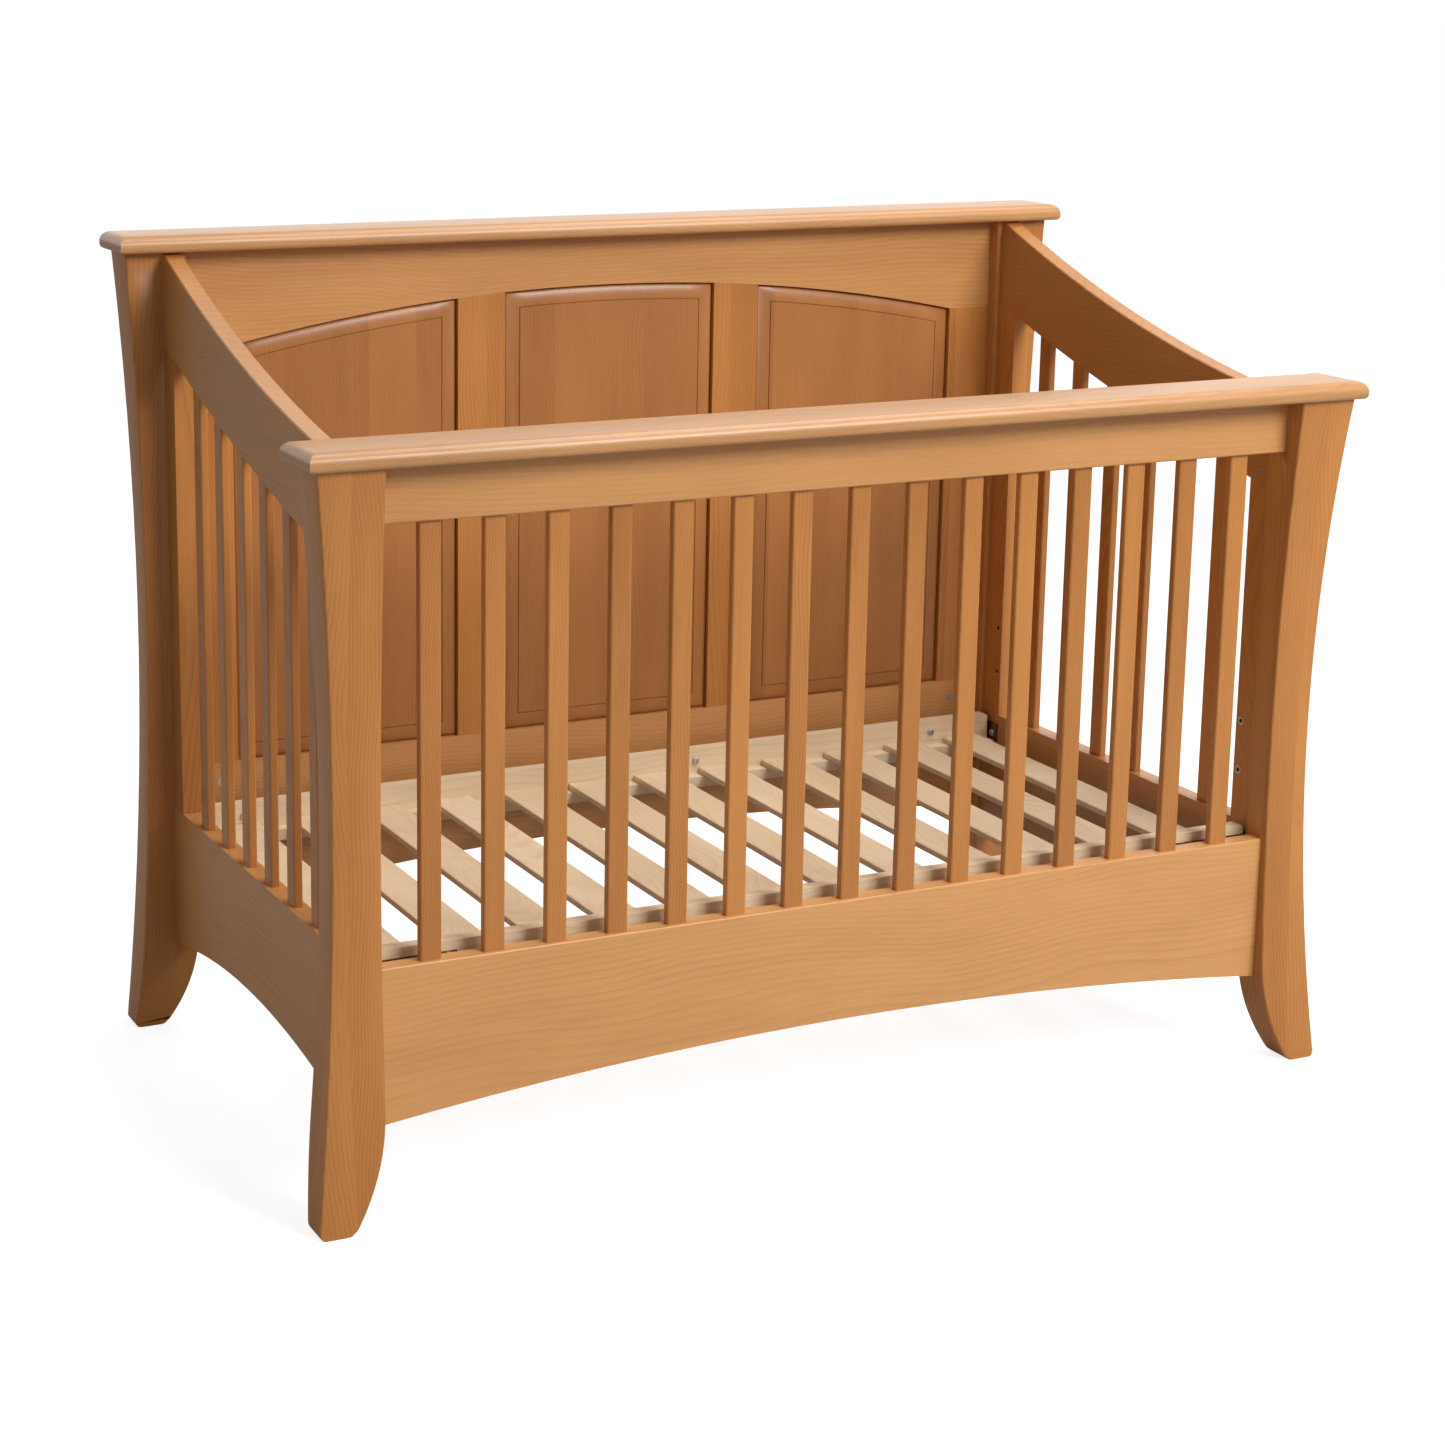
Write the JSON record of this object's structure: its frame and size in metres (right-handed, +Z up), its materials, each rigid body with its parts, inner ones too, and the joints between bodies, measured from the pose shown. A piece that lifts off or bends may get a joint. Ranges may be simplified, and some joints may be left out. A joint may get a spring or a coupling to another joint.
{
  "type": "baby crib",
  "caption": "Wooden baby crib with a slatted front and swooping slatted ends, a higher panelled back, flared posts, moulded cap rails and a slatted mattress support that lifts off its bolts.",
  "frame": {"origin": "on the floor, at the middle of the crib's length and width", "axes": "+X along the crib's length, to the right for someone facing its low slatted front; +Y from the front to the panelled back; +Z up"},
  "size_m": [1.51, 0.844, 1.144],
  "materials": {
    "stained_wood": "satin",
    "panel_wood": "satin",
    "pale_wood": "matte",
    "zinc_steel": "satin",
    "bronzed_steel": "satin"
  },
  "bodies": {
    "crib_frame": {"back_bottom_rail": "stained_wood", "back_left_mullion": "stained_wood", "back_left_stile": "stained_wood", "back_panel_centre": "panel_wood", "back_panel_left": "panel_wood", "back_panel_right": "panel_wood", "back_right_mullion": "stained_wood", "back_right_stile": "stained_wood", "back_top_rail": "stained_wood", "frame_studs_and_barrel_nuts": "zinc_steel", "front_bottom_rail": "stained_wood", "front_cap_rail": "stained_wood", "front_slat_01": "stained_wood", "front_slat_02": "stained_wood", "front_slat_03": "stained_wood", "front_slat_04": "stained_wood", "front_slat_05": "stained_wood", "front_slat_06": "stained_wood", "front_slat_07": "stained_wood", "front_slat_08": "stained_wood", "front_slat_09": "stained_wood", "front_slat_10": "stained_wood", "front_slat_11": "stained_wood", "front_slat_12": "stained_wood", "front_slat_13": "stained_wood", "front_slat_14": "stained_wood", "front_slat_15": "stained_wood", "front_top_rail": "stained_wood", "left_end_bottom_rail": "stained_wood", "left_end_front_stile": "stained_wood", "left_end_rear_stile": "stained_wood", "left_end_slat_1": "stained_wood", "left_end_slat_2": "stained_wood", "left_end_slat_3": "stained_wood", "left_end_slat_4": "stained_wood", "left_end_slat_5": "stained_wood", "left_end_slat_6": "stained_wood", "left_end_top_rail": "stained_wood", "post_front_left": "stained_wood", "post_front_right": "stained_wood", "post_rear_left": "stained_wood", "post_rear_right": "stained_wood", "rear_cap_rail": "stained_wood", "right_end_bottom_rail": "stained_wood", "right_end_front_stile": "stained_wood", "right_end_rear_stile": "stained_wood", "right_end_slat_1": "stained_wood", "right_end_slat_2": "stained_wood", "right_end_slat_3": "stained_wood", "right_end_slat_4": "stained_wood", "right_end_slat_5": "stained_wood", "right_end_slat_6": "stained_wood", "right_end_top_rail": "stained_wood", "support_bolts_and_inserts": "zinc_steel"},
    "mattress_support": {"support_rear_cleat": "pale_wood", "support_front_cleat": "pale_wood", "support_ledgers": "pale_wood", "support_slats": "pale_wood", "support_brackets": "bronzed_steel", "cleat_bolts_and_nuts": "zinc_steel"}
  },
  "joints": [
    {"name": "support_height", "type": "slide", "parent": "crib_frame", "child": "mattress_support", "axis": [0, 0, 1], "range_m": [0, 0.172]}
  ]
}
